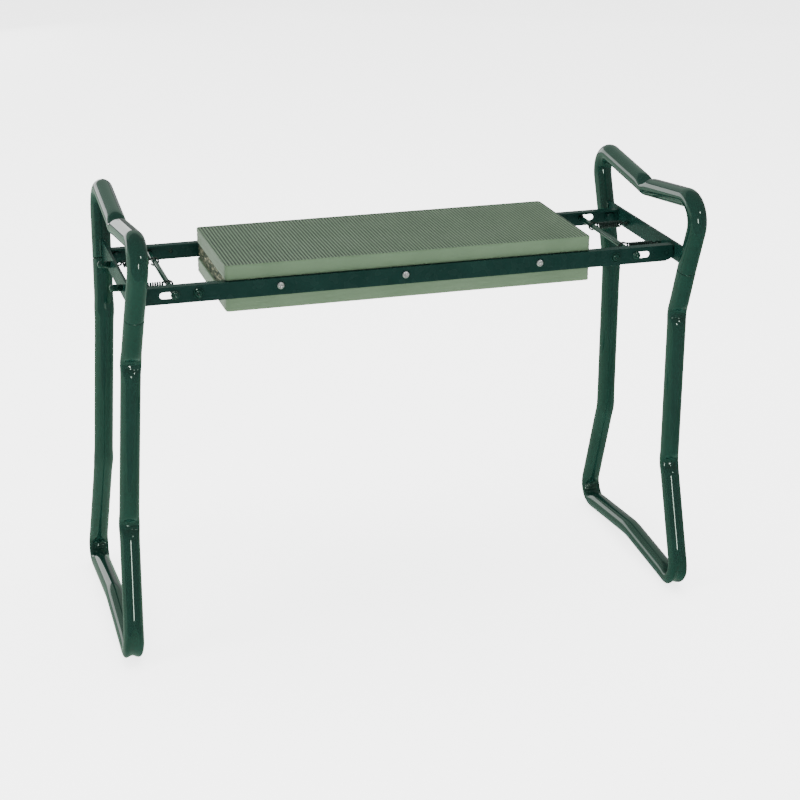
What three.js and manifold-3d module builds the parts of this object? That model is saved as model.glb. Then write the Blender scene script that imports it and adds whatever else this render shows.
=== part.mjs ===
// A folding garden kneeler seat.
// Two closed loops of round tube stand at the ends of a padded seat.
// The seat's rails hinge on the loops, so that each loop folds in under the pad.
// Units are millimetres. +X is the right end, -Y is the front, +Z is up, and the floor is Z = 0.
// Every dimension below is measured from the middle of the seat. The last lines move the origin
// to the middle of the whole outline, which the splayed left loop makes a little lopsided.
import * as THREE from "three";
import Module from "manifold-3d";

const wasm = await Module();
wasm.setup();
const { Manifold } = wasm;

// ---------------------------------------------------------------- driving dimensions

// round tube of the leg loops
const TUBE_RADIUS = 11;
const TUBE_WALL = 1.2;
const TUBE_SIDES = 12;

// outline of one loop, as half widths and heights of the tube's centre line
const LOOP_X = 314; // distance of each loop from the middle of the seat
const WAIST_HALF_WIDTH = 98.5;
const UPPER_BEND_Z = 338;
const LOWER_BEND_Z = 151;
const UPRIGHT_LEAN = 0.34; // sideways over upwards, outside the waist
const HANDLE_MIDDLE_Z = 462;
const HANDLE_RISE = 0.125; // how fast the handle climbs away from its V-shaped dip
const HANDLE_CORNER_RADIUS = 25;
const HANDLE_CORNER_SPREAD = 3.5; // the handle's corners reach out past the leaning uprights
const GROUND_BAR_ARCH = 13; // rise of the ground bar at its middle
const FOOT_CORNER_RADIUS = 22;
const WAIST_BEND_RADIUS = 45;
const DENT_DEPTH = 4.5; // crush-bent tube is dented on the inside of the bend
const TUBE_JOINT_Z = 393; // the handle tube plugs into the leg tube here
const LEFT_SPLAY = 3.4; // degrees each leg stands open past square
const RIGHT_SPLAY = 0;

// hinge of a loop on the rails
const HINGE_X = 302.5;
const HINGE_Z = 405.5;

// L-section rails
const RAIL_OUTER_Y = 86;
const RAIL_HEIGHT = 18.6;
const RAIL_BOTTOM_Z = 396;
const RAIL_STEEL = 2;
const RAIL_FLANGE = 10;
const RAIL_END_X = 311.4;
const RAIL_FLANGE_END_X = 310.4;
const SLOT_INNER_X = 261.8;
const SLOT_OUTER_X = 282;
const SLOT_HEIGHT = 8;

// cross plate between the two uprights of a loop
const PLATE_STEEL = 3;
const PLATE_BOTTOM_Z = 396.5;
const PLATE_TOP_Z = 417;
const EAR_RADIUS = 6.6;
const EAR_STEEL = 2.5;

// padded seat
const PAD_HALF_LENGTH = 210;
const PAD_HALF_DEPTH = 82.5;
const PAD_TOP_Z = 432;
const PAD_BOTTOM_Z = 380;
const PAD_EDGE = 2;
const BOARD_HALF_LENGTH = 207.5;
const BOARD_HALF_DEPTH = 83.7;
const BOARD_BOTTOM_Z = 397;
const BOARD_TOP_Z = 412.2;

// fixings
const BOARD_SCREW_X = [-150, -9, 148];
const BOARD_SCREW_Z = 406.3;
const RAIL_RIVET_X = 240;
const FIXING_SIDES = 12;
const FIT_GAP = 0.3;

// lock rod and its springs
const ROD_X = 265.2;
const ROD_RADIUS = 3;
const SPRING_Y = 46;
const SPRING_RADIUS = 3.6;
const SPRING_WIRE = 0.8;
const SPRING_TURNS = 11;
const SPRING_INNER_X = 272;
const SPRING_OUTER_X = 300.5;
const STUD_HOLE_X = 308.6;

// ---------------------------------------------------------------- materials

function paint(color, roughness, metalness) {
  return new THREE.MeshStandardMaterial({ color, roughness, metalness });
}

const MATERIALS = {
  green_tube: paint(0x1f4a38, 0.18, 0.3),
  green_steel: paint(0x1a3630, 0.3, 0.3),
  bare_steel: paint(0xc9ccca, 0.3, 0.9),
  spring_steel: paint(0x27382f, 0.35, 0.6),
  foam: paint(0x7f9a78, 0.85, 0),
  chipboard: paint(0x4b4a33, 0.9, 0),
};

// ---------------------------------------------------------------- turning solids into meshes

const parts = [];

function addGeometry(name, slot, geometry) {
  const mesh = new THREE.Mesh(geometry, MATERIALS[slot]);
  mesh.name = name;
  parts.push(mesh);
  return mesh;
}

function addSolid(name, slot, solid) {
  const data = solid.getMesh();
  const indexed = new THREE.BufferGeometry();
  indexed.setAttribute("position", new THREE.BufferAttribute(new Float32Array(data.vertProperties), 3));
  indexed.setIndex(new THREE.BufferAttribute(new Uint32Array(data.triVerts), 1));
  const geometry = indexed.toNonIndexed();
  geometry.computeVertexNormals();
  return addGeometry(name, slot, geometry);
}

function box(x0, x1, y0, y1, z0, z1) {
  return Manifold.cube([x1 - x0, y1 - y0, z1 - z0]).translate([x0, y0, z0]);
}

// a cylinder along Y, or a cone if the two radii differ
function roundAlongY(x, z, y0, y1, radius, endRadius = radius, sides = FIXING_SIDES) {
  const low = Math.min(y0, y1);
  const high = Math.max(y0, y1);
  const first = y0 < y1 ? radius : endRadius;
  const last = y0 < y1 ? endRadius : radius;
  return Manifold.cylinder(high - low, first, last, sides)
    .rotate([-90, 0, 0])
    .translate([x, low, z]);
}

function roundAlongX(y, z, x0, x1, radius, endRadius = radius, sides = FIXING_SIDES) {
  const low = Math.min(x0, x1);
  const high = Math.max(x0, x1);
  const first = x0 < x1 ? radius : endRadius;
  const last = x0 < x1 ? endRadius : radius;
  return Manifold.cylinder(high - low, first, last, sides)
    .rotate([0, 90, 0])
    .translate([low, y, z]);
}

// ---------------------------------------------------------------- tube along a path

// The path is a list of stations in the loop's own plane: { y, z, dent, side }.
// dent is how far the wall is pushed in, and side is the direction it is pushed from.
function tubeGeometry(stations, x) {
  const positions = [];
  const triangles = [];
  const last = stations.length - 1;
  const ringStart = (station, wall) => (station * 2 + wall) * TUBE_SIDES;

  stations.forEach((station, i) => {
    const before = stations[Math.max(i - 1, 0)];
    const after = stations[Math.min(i + 1, last)];
    const length = Math.hypot(after.y - before.y, after.z - before.z);
    const across = { y: (after.z - before.z) / length, z: -(after.y - before.y) / length };
    for (const radius of [TUBE_RADIUS, TUBE_RADIUS - TUBE_WALL]) {
      for (let k = 0; k < TUBE_SIDES; k++) {
        const angle = (2 * Math.PI * k) / TUBE_SIDES;
        let outward = radius * Math.cos(angle);
        const sideways = radius * Math.sin(angle);
        if (station.dent > 0 && outward * station.side > 0) {
          outward -= (station.side * station.dent * Math.abs(outward)) / radius;
        }
        positions.push(x + sideways, station.y + across.y * outward, station.z + across.z * outward);
      }
    }
  });

  const quad = (a, b, c, d) => triangles.push(a, c, b, a, d, c);
  for (let i = 0; i < last; i++) {
    for (let k = 0; k < TUBE_SIDES; k++) {
      const next = (k + 1) % TUBE_SIDES;
      const outer = ringStart(i, 0);
      const outerAfter = ringStart(i + 1, 0);
      const inner = ringStart(i, 1);
      const innerAfter = ringStart(i + 1, 1);
      quad(outer + k, outer + next, outerAfter + next, outerAfter + k);
      quad(inner + k, innerAfter + k, innerAfter + next, inner + next);
    }
  }
  for (let k = 0; k < TUBE_SIDES; k++) {
    const next = (k + 1) % TUBE_SIDES;
    quad(ringStart(0, 0) + k, ringStart(0, 1) + k, ringStart(0, 1) + next, ringStart(0, 0) + next);
    quad(ringStart(last, 0) + k, ringStart(last, 0) + next, ringStart(last, 1) + next, ringStart(last, 1) + k);
  }

  const indexed = new THREE.BufferGeometry();
  indexed.setAttribute("position", new THREE.Float32BufferAttribute(positions, 3));
  indexed.setIndex(triangles);
  const geometry = indexed.toNonIndexed();
  geometry.computeVertexNormals();
  return geometry;
}

// Rounds the corner of a path between three points, and dents it if dent is not 0.
function roundedCorner(before, corner, after, radius, steps, dent, side) {
  const unit = (from, to) => {
    const length = Math.hypot(to.y - from.y, to.z - from.z);
    return { y: (to.y - from.y) / length, z: (to.z - from.z) / length };
  };
  const back = unit(corner, before);
  const ahead = unit(corner, after);
  const half = Math.acos(back.y * ahead.y + back.z * ahead.z) / 2;
  const reach = radius / Math.tan(half);
  const toCentre = radius / Math.sin(half);
  const middle = unit({ y: 0, z: 0 }, { y: back.y + ahead.y, z: back.z + ahead.z });
  const centre = { y: corner.y + middle.y * toCentre, z: corner.z + middle.z * toCentre };
  const start = { y: corner.y + back.y * reach, z: corner.z + back.z * reach };
  const end = { y: corner.y + ahead.y * reach, z: corner.z + ahead.z * reach };
  const startAngle = Math.atan2(start.z - centre.z, start.y - centre.y);
  let sweep = Math.atan2(end.z - centre.z, end.y - centre.y) - startAngle;
  if (sweep > Math.PI) sweep -= 2 * Math.PI;
  if (sweep < -Math.PI) sweep += 2 * Math.PI;
  const stations = [];
  for (let i = 0; i <= steps; i++) {
    const angle = startAngle + (sweep * i) / steps;
    stations.push({
      y: centre.y + radius * Math.cos(angle),
      z: centre.z + radius * Math.sin(angle),
      dent: dent * Math.sin((Math.PI * i) / steps),
      side,
    });
  }
  return stations;
}

function mirrored(stations) {
  return stations.map((s) => ({ ...s, y: -s.y })).reverse();
}

function plain(y, z) {
  return { y, z, dent: 0, side: 1 };
}

// half width of a leaning upright above the waist
function upperHalfWidth(z) {
  return WAIST_HALF_WIDTH + UPRIGHT_LEAN * (z - UPPER_BEND_Z);
}

// half of the handle, from the rear tube joint to the middle of the V
function rearHalfOfHandle() {
  const joint = plain(upperHalfWidth(TUBE_JOINT_Z), TUBE_JOINT_Z + FIT_GAP / 2);
  const straightTopZ = HANDLE_MIDDLE_Z - 26;
  const cornerY = upperHalfWidth(HANDLE_MIDDLE_Z + 19) + HANDLE_CORNER_SPREAD;
  const corner = plain(cornerY, HANDLE_MIDDLE_Z + cornerY * HANDLE_RISE);
  const upright = plain(upperHalfWidth(straightTopZ), straightTopZ);
  const middle = plain(0, HANDLE_MIDDLE_Z);
  const vStart = { ...plain(12, HANDLE_MIDDLE_Z + 12 * HANDLE_RISE), side: 1 };
  return [
    joint,
    ...roundedCorner(upright, corner, middle, HANDLE_CORNER_RADIUS, 7, 1.5, -1),
    vStart,
  ];
}

function handleStations() {
  const rear = rearHalfOfHandle();
  const dip = { y: 0, z: HANDLE_MIDDLE_Z, dent: DENT_DEPTH, side: -1 };
  const nearDip = { y: 5, z: HANDLE_MIDDLE_Z + 5 * HANDLE_RISE, dent: DENT_DEPTH * 0.7, side: -1 };
  return [...rear, nearDip, dip, { ...nearDip, y: -5 }, ...mirrored(rear)];
}

// half of the leg tube, from the middle of the ground bar up to the rear tube joint
function rearHalfOfLeg(footZ) {
  const footCorner = plain(WAIST_HALF_WIDTH + UPRIGHT_LEAN * (LOWER_BEND_Z - footZ), footZ);
  const groundMiddle = plain(0, footZ + GROUND_BAR_ARCH);
  const lowerBend = plain(WAIST_HALF_WIDTH, LOWER_BEND_Z);
  const upperBend = plain(WAIST_HALF_WIDTH, UPPER_BEND_Z);
  const joint = plain(upperHalfWidth(TUBE_JOINT_Z), TUBE_JOINT_Z - FIT_GAP / 2);
  return [
    ...roundedCorner(groundMiddle, footCorner, lowerBend, FOOT_CORNER_RADIUS, 6, DENT_DEPTH, -1),
    ...roundedCorner(footCorner, lowerBend, upperBend, WAIST_BEND_RADIUS, 4, DENT_DEPTH, 1),
    ...roundedCorner(lowerBend, upperBend, joint, WAIST_BEND_RADIUS, 4, DENT_DEPTH, 1),
    joint,
  ];
}

function legStations(footZ) {
  const rear = rearHalfOfLeg(footZ);
  return [...mirrored(rear), plain(0, footZ + GROUND_BAR_ARCH), ...rear];
}

// ---------------------------------------------------------------- one leg loop

// Turns a leg's pieces open about its hinge by the splay angle. side is -1 left, +1 right.
function splay(geometry, side, degrees) {
  geometry.translate(-side * HINGE_X, 0, -HINGE_Z);
  geometry.rotateY((-side * degrees * Math.PI) / 180);
  geometry.translate(side * HINGE_X, 0, HINGE_Z);
  geometry.computeVertexNormals();
}

// A splayed leg is a little longer, so that its foot still reaches the floor.
function footHeight(degrees) {
  const tilt = (degrees * Math.PI) / 180;
  const lowestCentre = TUBE_RADIUS - 3.02;
  const offset = LOOP_X - HINGE_X;
  return HINGE_Z - (HINGE_Z - lowestCentre + offset * Math.sin(tilt)) / Math.cos(tilt);
}

// Half width between the uprights' inner faces at a height.
function insideHalfWidth(z) {
  return upperHalfWidth(z) - TUBE_RADIUS * Math.hypot(1, UPRIGHT_LEAN) - 2 * FIT_GAP;
}

function crossPlate(side) {
  const outline = [
    [-insideHalfWidth(PLATE_BOTTOM_Z), PLATE_BOTTOM_Z],
    [insideHalfWidth(PLATE_BOTTOM_Z), PLATE_BOTTOM_Z],
    [insideHalfWidth(PLATE_TOP_Z), PLATE_TOP_Z],
    [-insideHalfWidth(PLATE_TOP_Z), PLATE_TOP_Z],
  ];
  const inner = LOOP_X - PLATE_STEEL / 2;
  let plate = Manifold.extrude([outline], PLATE_STEEL)
    .rotate([90, 0, 90])
    .translate([inner, 0, 0]);
  const earY = RAIL_OUTER_Y - RAIL_STEEL - FIT_GAP - EAR_STEEL;
  for (const front of [-1, 1]) {
    const y0 = front > 0 ? earY : -earY - EAR_STEEL;
    const y1 = y0 + EAR_STEEL;
    plate = plate.add(box(HINGE_X, inner + 1, y0, y1, HINGE_Z - EAR_RADIUS, HINGE_Z + EAR_RADIUS));
    plate = plate.add(roundAlongY(HINGE_X, HINGE_Z, y0, y1, EAR_RADIUS, EAR_RADIUS, 20));
    plate = plate.subtract(roundAlongY(HINGE_X, HINGE_Z, y0 - 1, y1 + 1, ROD_RADIUS + FIT_GAP));
    plate = plate.subtract(roundAlongX(front * SPRING_Y, HINGE_Z, inner - 1, inner + 5, 2.6));
  }
  return side > 0 ? plate : plate.rotate([0, 0, 180]);
}

// The stud a spring hooks onto: a lug with an eye inside the plate, and a domed nut outside it.
function springStud(side, y) {
  const outer = LOOP_X + PLATE_STEEL / 2 + FIT_GAP;
  const inner = LOOP_X - PLATE_STEEL / 2 - FIT_GAP;
  let stud = roundAlongX(y, HINGE_Z, inner - 1, outer + 2, 2.2, 2.2, 8);
  stud = stud.add(roundAlongX(y, HINGE_Z, outer, outer + 11, 3.9, 3.9, 10));
  stud = stud.add(roundAlongX(y, HINGE_Z, outer + 11, outer + 13.5, 3.9, 2.2, 10));
  stud = stud.add(box(STUD_HOLE_X - 4, inner, y - 1, y + 1, HINGE_Z - 3.2, HINGE_Z + 3.2));
  stud = stud.subtract(roundAlongY(STUD_HOLE_X, HINGE_Z, y - 3, y + 3, 1.8, 1.8, 8));
  return side > 0 ? stud : stud.rotate([0, 0, 180]);
}

function addLeg(sideName, side, degrees) {
  const footZ = footHeight(degrees);
  const x = side * LOOP_X;
  const pieces = [
    addGeometry(`${sideName}_handle_tube`, "green_tube", tubeGeometry(handleStations(), x)),
    addGeometry(`${sideName}_leg_tube`, "green_tube", tubeGeometry(legStations(footZ), x)),
    addSolid(`${sideName}_cross_plate`, "green_steel", crossPlate(side)),
    addSolid(`${sideName}_front_spring_stud`, "green_steel", springStud(side, -side * SPRING_Y)),
    addSolid(`${sideName}_rear_spring_stud`, "green_steel", springStud(side, side * SPRING_Y)),
  ];
  pieces.forEach((piece) => splay(piece.geometry, side, degrees));
}

// ---------------------------------------------------------------- rails

// one rail at the front; the rear rail is its mirror image
function railSolid() {
  const top = RAIL_BOTTOM_Z + RAIL_HEIGHT;
  const inner = -RAIL_OUTER_Y + RAIL_STEEL;
  const webLength = HINGE_X;
  let rail = box(-webLength, webLength, -RAIL_OUTER_Y, inner, RAIL_BOTTOM_Z, top);
  for (const side of [-1, 1]) {
    const endRadius = RAIL_END_X - HINGE_X;
    rail = rail.add(roundAlongY(side * HINGE_X, HINGE_Z, -RAIL_OUTER_Y, inner, endRadius, endRadius, 20));
    const x0 = side > 0 ? HINGE_X - 1 : -RAIL_FLANGE_END_X;
    const x1 = side > 0 ? RAIL_FLANGE_END_X : -HINGE_X + 1;
    rail = rail.add(box(x0, x1, -RAIL_OUTER_Y, inner, HINGE_Z + 2, top));
  }
  const flangeEnd = -RAIL_OUTER_Y + RAIL_FLANGE;
  rail = rail.add(
    box(-RAIL_FLANGE_END_X, RAIL_FLANGE_END_X, -RAIL_OUTER_Y, flangeEnd, top - RAIL_STEEL, top)
  );
  const cut = (x, z, radius) => roundAlongY(x, z, -RAIL_OUTER_Y - 1, inner + 1, radius);
  for (const side of [-1, 1]) {
    rail = rail.subtract(cut(side * HINGE_X, HINGE_Z, ROD_RADIUS + FIT_GAP));
    rail = rail.subtract(cut(side * RAIL_RIVET_X, HINGE_Z, 2.6));
    const r = SLOT_HEIGHT / 2;
    const slotEnds = [side * (SLOT_INNER_X + r), side * (SLOT_OUTER_X - r)];
    slotEnds.forEach((x) => {
      rail = rail.subtract(cut(x, HINGE_Z, r));
    });
    const [x0, x1] = slotEnds.sort((a, b) => a - b);
    rail = rail.subtract(box(x0, x1, -RAIL_OUTER_Y - 1, inner + 1, HINGE_Z - r, HINGE_Z + r));
  }
  for (const x of BOARD_SCREW_X) {
    rail = rail.subtract(cut(x, BOARD_SCREW_Z, 2.3));
  }
  return rail;
}

// ---------------------------------------------------------------- seat

// a block with its long and upright edges softened by a small chamfer
function softBlock(halfLength, halfDepth, z0, z1, edge) {
  const outline = [
    [-halfDepth, z0 + edge],
    [-halfDepth + edge, z0],
    [halfDepth - edge, z0],
    [halfDepth, z0 + edge],
    [halfDepth, z1 - edge],
    [halfDepth - edge, z1],
    [-halfDepth + edge, z1],
    [-halfDepth, z1 - edge],
  ];
  const along = Manifold.extrude([outline], 2 * halfLength)
    .rotate([90, 0, 90])
    .translate([-halfLength, 0, 0]);
  const plan = [
    [-halfLength, -halfDepth + edge],
    [-halfLength + edge, -halfDepth],
    [halfLength - edge, -halfDepth],
    [halfLength, -halfDepth + edge],
    [halfLength, halfDepth - edge],
    [halfLength - edge, halfDepth],
    [-halfLength + edge, halfDepth],
    [-halfLength, halfDepth - edge],
  ];
  return along.intersect(Manifold.extrude([plan], z1 - z0).translate([0, 0, z0]));
}

function boardSolid() {
  let board = box(
    -BOARD_HALF_LENGTH, BOARD_HALF_LENGTH,
    -BOARD_HALF_DEPTH, BOARD_HALF_DEPTH,
    BOARD_BOTTOM_Z, BOARD_TOP_Z,
  );
  for (const x of BOARD_SCREW_X) {
    for (const front of [-1, 1]) {
      const mouth = front * (BOARD_HALF_DEPTH + 1);
      const end = front * (BOARD_HALF_DEPTH - 24);
      board = board.subtract(roundAlongY(x, BOARD_SCREW_Z, end, mouth, 2, 2, 8));
    }
  }
  return board;
}

// ---------------------------------------------------------------- fixings

// A fixing seen from the front has front = -1, from the rear +1.
function boardScrew(x, front) {
  const face = RAIL_OUTER_Y + FIT_GAP / 2;
  const shank = roundAlongY(x, BOARD_SCREW_Z, front * (BOARD_HALF_DEPTH - 20), front * face, 1.8, 1.8, 8);
  const rim = roundAlongY(x, BOARD_SCREW_Z, front * face, front * (face + 1.2), 3.9, 3.7);
  const dome = roundAlongY(x, BOARD_SCREW_Z, front * (face + 1.2), front * (face + 2.5), 3.7, 2);
  return shank.add(rim).add(dome);
}

function railRivet(x, front) {
  const face = RAIL_OUTER_Y + FIT_GAP / 2;
  const back = RAIL_OUTER_Y - RAIL_STEEL - FIT_GAP / 2;
  const shank = roundAlongY(x, HINGE_Z, front * back, front * face, 2.4);
  const rim = roundAlongY(x, HINGE_Z, front * face, front * (face + 0.9), 5.4, 5.1);
  const dome = roundAlongY(x, HINGE_Z, front * (face + 0.9), front * (face + 2.6), 3.8, 2.4);
  const tail = roundAlongY(x, HINGE_Z, front * (back - 1.6), front * back, 3.6, 4.6);
  return shank.add(rim).add(dome).add(tail);
}

// flush outside the rail, with a head inside the ear of the cross plate
function hingePin(x, front) {
  const outside = RAIL_OUTER_Y - 0.3;
  const earFace = RAIL_OUTER_Y - RAIL_STEEL - FIT_GAP - EAR_STEEL;
  const shank = roundAlongY(x, HINGE_Z, front * (earFace - FIT_GAP), front * outside, ROD_RADIUS);
  const head = roundAlongY(
    x, HINGE_Z, front * (earFace - FIT_GAP - 2), front * (earFace - FIT_GAP), 3.6, 5.2,
  );
  return shank.add(head);
}

// ---------------------------------------------------------------- lock rod and springs

function lockRod(side) {
  const x = side * ROD_X;
  const face = RAIL_OUTER_Y + FIT_GAP;
  let rod = roundAlongY(x, HINGE_Z, -face - 0.5, face + 0.5, ROD_RADIUS);
  for (const front of [-1, 1]) {
    rod = rod.add(roundAlongY(x, HINGE_Z, front * face, front * (face + 1), 4.8, 4.8));
    rod = rod.add(roundAlongY(x, HINGE_Z, front * (face + 1), front * (face + 2.4), 4, 2.2));
  }
  return rod;
}

// centre line of a spring on the right: a loop round the rod, the coil, and a loop through the stud
function springPath(y) {
  const points = [];
  const rodLoop = ROD_RADIUS + SPRING_WIRE + 2 * FIT_GAP;
  const add = (x, dy, dz) => points.push(new THREE.Vector3(x, y + dy, HINGE_Z + dz));
  for (let i = 0; i <= 7; i++) {
    const angle = (-150 + i * 39) * (Math.PI / 180);
    add(ROD_X - rodLoop * Math.cos(angle), 0, rodLoop * Math.sin(angle));
  }
  const steps = SPRING_TURNS * 5;
  for (let i = 0; i <= steps; i++) {
    const angle = (2 * Math.PI * i) / 5;
    const x = SPRING_INNER_X + ((SPRING_OUTER_X - SPRING_INNER_X) * i) / steps;
    add(x, SPRING_RADIUS * Math.sin(angle), SPRING_RADIUS * Math.cos(angle));
  }
  const eyeLoop = 3;
  const eyeX = STUD_HOLE_X - eyeLoop;
  for (let i = 0; i <= 6; i++) {
    const angle = (200 - i * 45) * (Math.PI / 180);
    add(eyeX + eyeLoop * Math.cos(angle), eyeLoop * Math.sin(angle), 0);
  }
  return points;
}

function wireGeometry(points, radius, sides) {
  const curve = new THREE.CatmullRomCurve3(points, false, "centripetal");
  const profile = new THREE.Shape();
  for (let k = 0; k < sides; k++) {
    const angle = (2 * Math.PI * k) / sides;
    const place = [radius * Math.cos(angle), radius * Math.sin(angle)];
    if (k === 0) profile.moveTo(...place);
    else profile.lineTo(...place);
  }
  profile.closePath();
  const geometry = new THREE.ExtrudeGeometry(profile, {
    steps: points.length - 1,
    bevelEnabled: false,
    extrudePath: curve,
  });
  geometry.computeVertexNormals();
  return geometry;
}

function addSpring(name, side, y) {
  const geometry = wireGeometry(springPath(y * side), SPRING_WIRE, 4);
  if (side < 0) geometry.rotateZ(Math.PI);
  addGeometry(name, "spring_steel", geometry);
}

// ---------------------------------------------------------------- assembly

addLeg("left", -1, LEFT_SPLAY);
addLeg("right", 1, RIGHT_SPLAY);

addSolid("front_rail", "green_steel", railSolid());
addSolid("rear_rail", "green_steel", railSolid().mirror([0, 1, 0]));
addSolid("seat_board", "chipboard", boardSolid());
const topPadBottom = RAIL_BOTTOM_Z + RAIL_HEIGHT + FIT_GAP;
addSolid("top_pad", "foam", softBlock(PAD_HALF_LENGTH, PAD_HALF_DEPTH, topPadBottom, PAD_TOP_Z, PAD_EDGE));
const bottomPadTop = BOARD_BOTTOM_Z - FIT_GAP;
addSolid("bottom_pad", "foam", softBlock(PAD_HALF_LENGTH, PAD_HALF_DEPTH, PAD_BOTTOM_Z, bottomPadTop, PAD_EDGE));

const SIDES = { front: -1, rear: 1 };
const ENDS = { left: -1, right: 1 };
const SCREW_NAMES = ["left", "middle", "right"];

for (const [sideName, front] of Object.entries(SIDES)) {
  BOARD_SCREW_X.forEach((x, i) => {
    addSolid(`${sideName}_${SCREW_NAMES[i]}_board_screw`, "bare_steel", boardScrew(x, front));
  });
  for (const [endName, end] of Object.entries(ENDS)) {
    addSolid(`${sideName}_${endName}_rail_rivet`, "green_steel", railRivet(end * RAIL_RIVET_X, front));
    addSolid(`${sideName}_${endName}_hinge_pin`, "green_steel", hingePin(end * HINGE_X, front));
  }
}

for (const [endName, end] of Object.entries(ENDS)) {
  addSolid(`${endName}_lock_rod`, "green_steel", lockRod(end));
  for (const [sideName, front] of Object.entries(SIDES)) {
    addSpring(`${endName}_${sideName}_spring`, end, front * SPRING_Y);
  }
}

// ---------------------------------------------------------------- origin under the middle, on the floor

const group = new THREE.Group();
group.name = "garden_kneeler_seat";
parts.forEach((mesh) => group.add(mesh));

const bounds = new THREE.Box3().setFromObject(group);
const middle = bounds.getCenter(new THREE.Vector3());
parts.forEach((mesh) => mesh.geometry.translate(-middle.x, -middle.y, -bounds.min.z));

export default group;
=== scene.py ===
"""A folding garden kneeler seat: two green tube loops, steel rails and a ribbed foam pad.

Lengths at the top are in millimetres and measured from the middle of the seat, as in the CAD
source. Every mesh is made in metres, in the CAD model's own frame.
"""
import math
import random

import bpy
from mathutils import Matrix, Vector


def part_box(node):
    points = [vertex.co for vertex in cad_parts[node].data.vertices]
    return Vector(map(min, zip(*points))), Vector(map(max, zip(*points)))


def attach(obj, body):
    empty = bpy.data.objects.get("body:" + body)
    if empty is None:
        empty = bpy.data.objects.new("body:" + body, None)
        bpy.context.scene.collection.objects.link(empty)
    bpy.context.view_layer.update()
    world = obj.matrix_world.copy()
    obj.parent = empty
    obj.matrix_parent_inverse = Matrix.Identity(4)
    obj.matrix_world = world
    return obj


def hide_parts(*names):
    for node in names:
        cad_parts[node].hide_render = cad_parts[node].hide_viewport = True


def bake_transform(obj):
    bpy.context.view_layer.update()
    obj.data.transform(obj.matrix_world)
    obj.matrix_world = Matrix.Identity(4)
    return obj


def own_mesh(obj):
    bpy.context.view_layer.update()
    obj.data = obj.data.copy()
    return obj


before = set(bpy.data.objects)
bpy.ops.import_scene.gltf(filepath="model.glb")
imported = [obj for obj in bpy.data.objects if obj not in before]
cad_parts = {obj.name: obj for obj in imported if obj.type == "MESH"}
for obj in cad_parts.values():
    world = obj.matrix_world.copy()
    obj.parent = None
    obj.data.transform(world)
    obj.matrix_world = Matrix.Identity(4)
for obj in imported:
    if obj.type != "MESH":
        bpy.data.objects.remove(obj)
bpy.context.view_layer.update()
MM = 0.001

# ---------------------------------------------------------------- driving dimensions

TUBE_RADIUS = 11
TUBE_WALL = 1.2
LOOP_X = 314
WAIST_HALF_WIDTH = 98.5
UPPER_BEND_Z = 338
LOWER_BEND_Z = 151
UPRIGHT_LEAN = 0.34
WAIST_BEND_RADIUS = 45
HANDLE_MIDDLE_Z = 462
HANDLE_RISE = 0.125
HANDLE_CORNER_RADIUS = 25
HANDLE_CORNER_SPREAD = 3.5
TUBE_JOINT_Z = 393
GROUND_BAR_ARCH = 13
FOOT_CORNER_RADIUS = 22
SPLAY = {"left": 3.4, "right": 0.0}

HINGE_X = 302.5
HINGE_Z = 405.5
RAIL_OUTER_Y = 86
PLATE_STEEL = 3
PLATE_BOTTOM_Z = 396.5
PLATE_TOP_Z = 417

PAD_CORNER = 4
PAD_EDGE = 1.4
RIB_PITCH = 3.82
RIB_DEPTH = 1.3

BOARD_SCREW_X = [-150, -9, 148]
BOARD_SCREW_Z = 406.3
RAIL_RIVET_X = 240
ROD_X = 265.2
ROD_RADIUS = 3
SPRING_Y = 46
SPRING_RADIUS = 3.2
SPRING_WIRE = 1.05
SPRING_TURNS = 11
SPRING_INNER_X = 272
SPRING_OUTER_X = 300.5
STUD_HOLE_X = 308.6

ENDS = {"left": -1, "right": 1}
SIDES = {"front": -1, "rear": 1}

CAMERA_PLACE = (-0.56746, -1.97628, 1.00298)
CAMERA_TILT = 69.344
CAMERA_TURN = -16.541
CAMERA_LENS = 84.14
FLOOR_HALF_WIDTH = 30
# The dim cards and the paper are a little green, so that the weak reflections are too.
PAINT_GLOSS = (0.74, 1, 0.80)

pad_low, pad_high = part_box("top_pad")
SEAT_X = (pad_low[0] + pad_high[0]) / 2
SEAT_LIFT = pad_high[2] - 432 * MM


# ---------------------------------------------------------------- materials

def new_material(name, color, roughness, metallic=0.0):
    material = bpy.data.materials.new(name)
    material.use_nodes = True
    shader = material.node_tree.nodes["Principled BSDF"]
    shader.inputs["Base Color"].default_value = (*color, 1)
    shader.inputs["Roughness"].default_value = roughness
    shader.inputs["Metallic"].default_value = metallic
    return material, material.node_tree.nodes, material.node_tree.links, shader


def object_coordinates(nodes):
    return nodes.new("ShaderNodeTexCoord").outputs["Object"]


def noise(nodes, links, scale, detail=3.0):
    node = nodes.new("ShaderNodeTexNoise")
    node.inputs["Scale"].default_value = scale
    node.inputs["Detail"].default_value = detail
    links.new(object_coordinates(nodes), node.inputs["Vector"])
    return node.outputs["Fac"]


def ramp(nodes, links, factor, stops):
    """A colour ramp; stops is a list of (position, colour)."""
    node = nodes.new("ShaderNodeValToRGB")
    elements = node.color_ramp.elements
    while len(elements) < len(stops):
        elements.new(0.5)
    for element, (position, color) in zip(elements, stops):
        element.position = position
        element.color = (*color, 1)
    links.new(factor, node.inputs["Fac"])
    return node.outputs["Color"]


def bump(nodes, links, shader, height, strength, distance, below=None):
    node = nodes.new("ShaderNodeBump")
    node.inputs["Strength"].default_value = strength
    node.inputs["Distance"].default_value = distance
    links.new(height, node.inputs["Height"])
    if below is not None:
        links.new(below, node.inputs["Normal"])
    links.new(node.outputs["Normal"], shader.inputs["Normal"])
    return node.outputs["Normal"]


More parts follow.
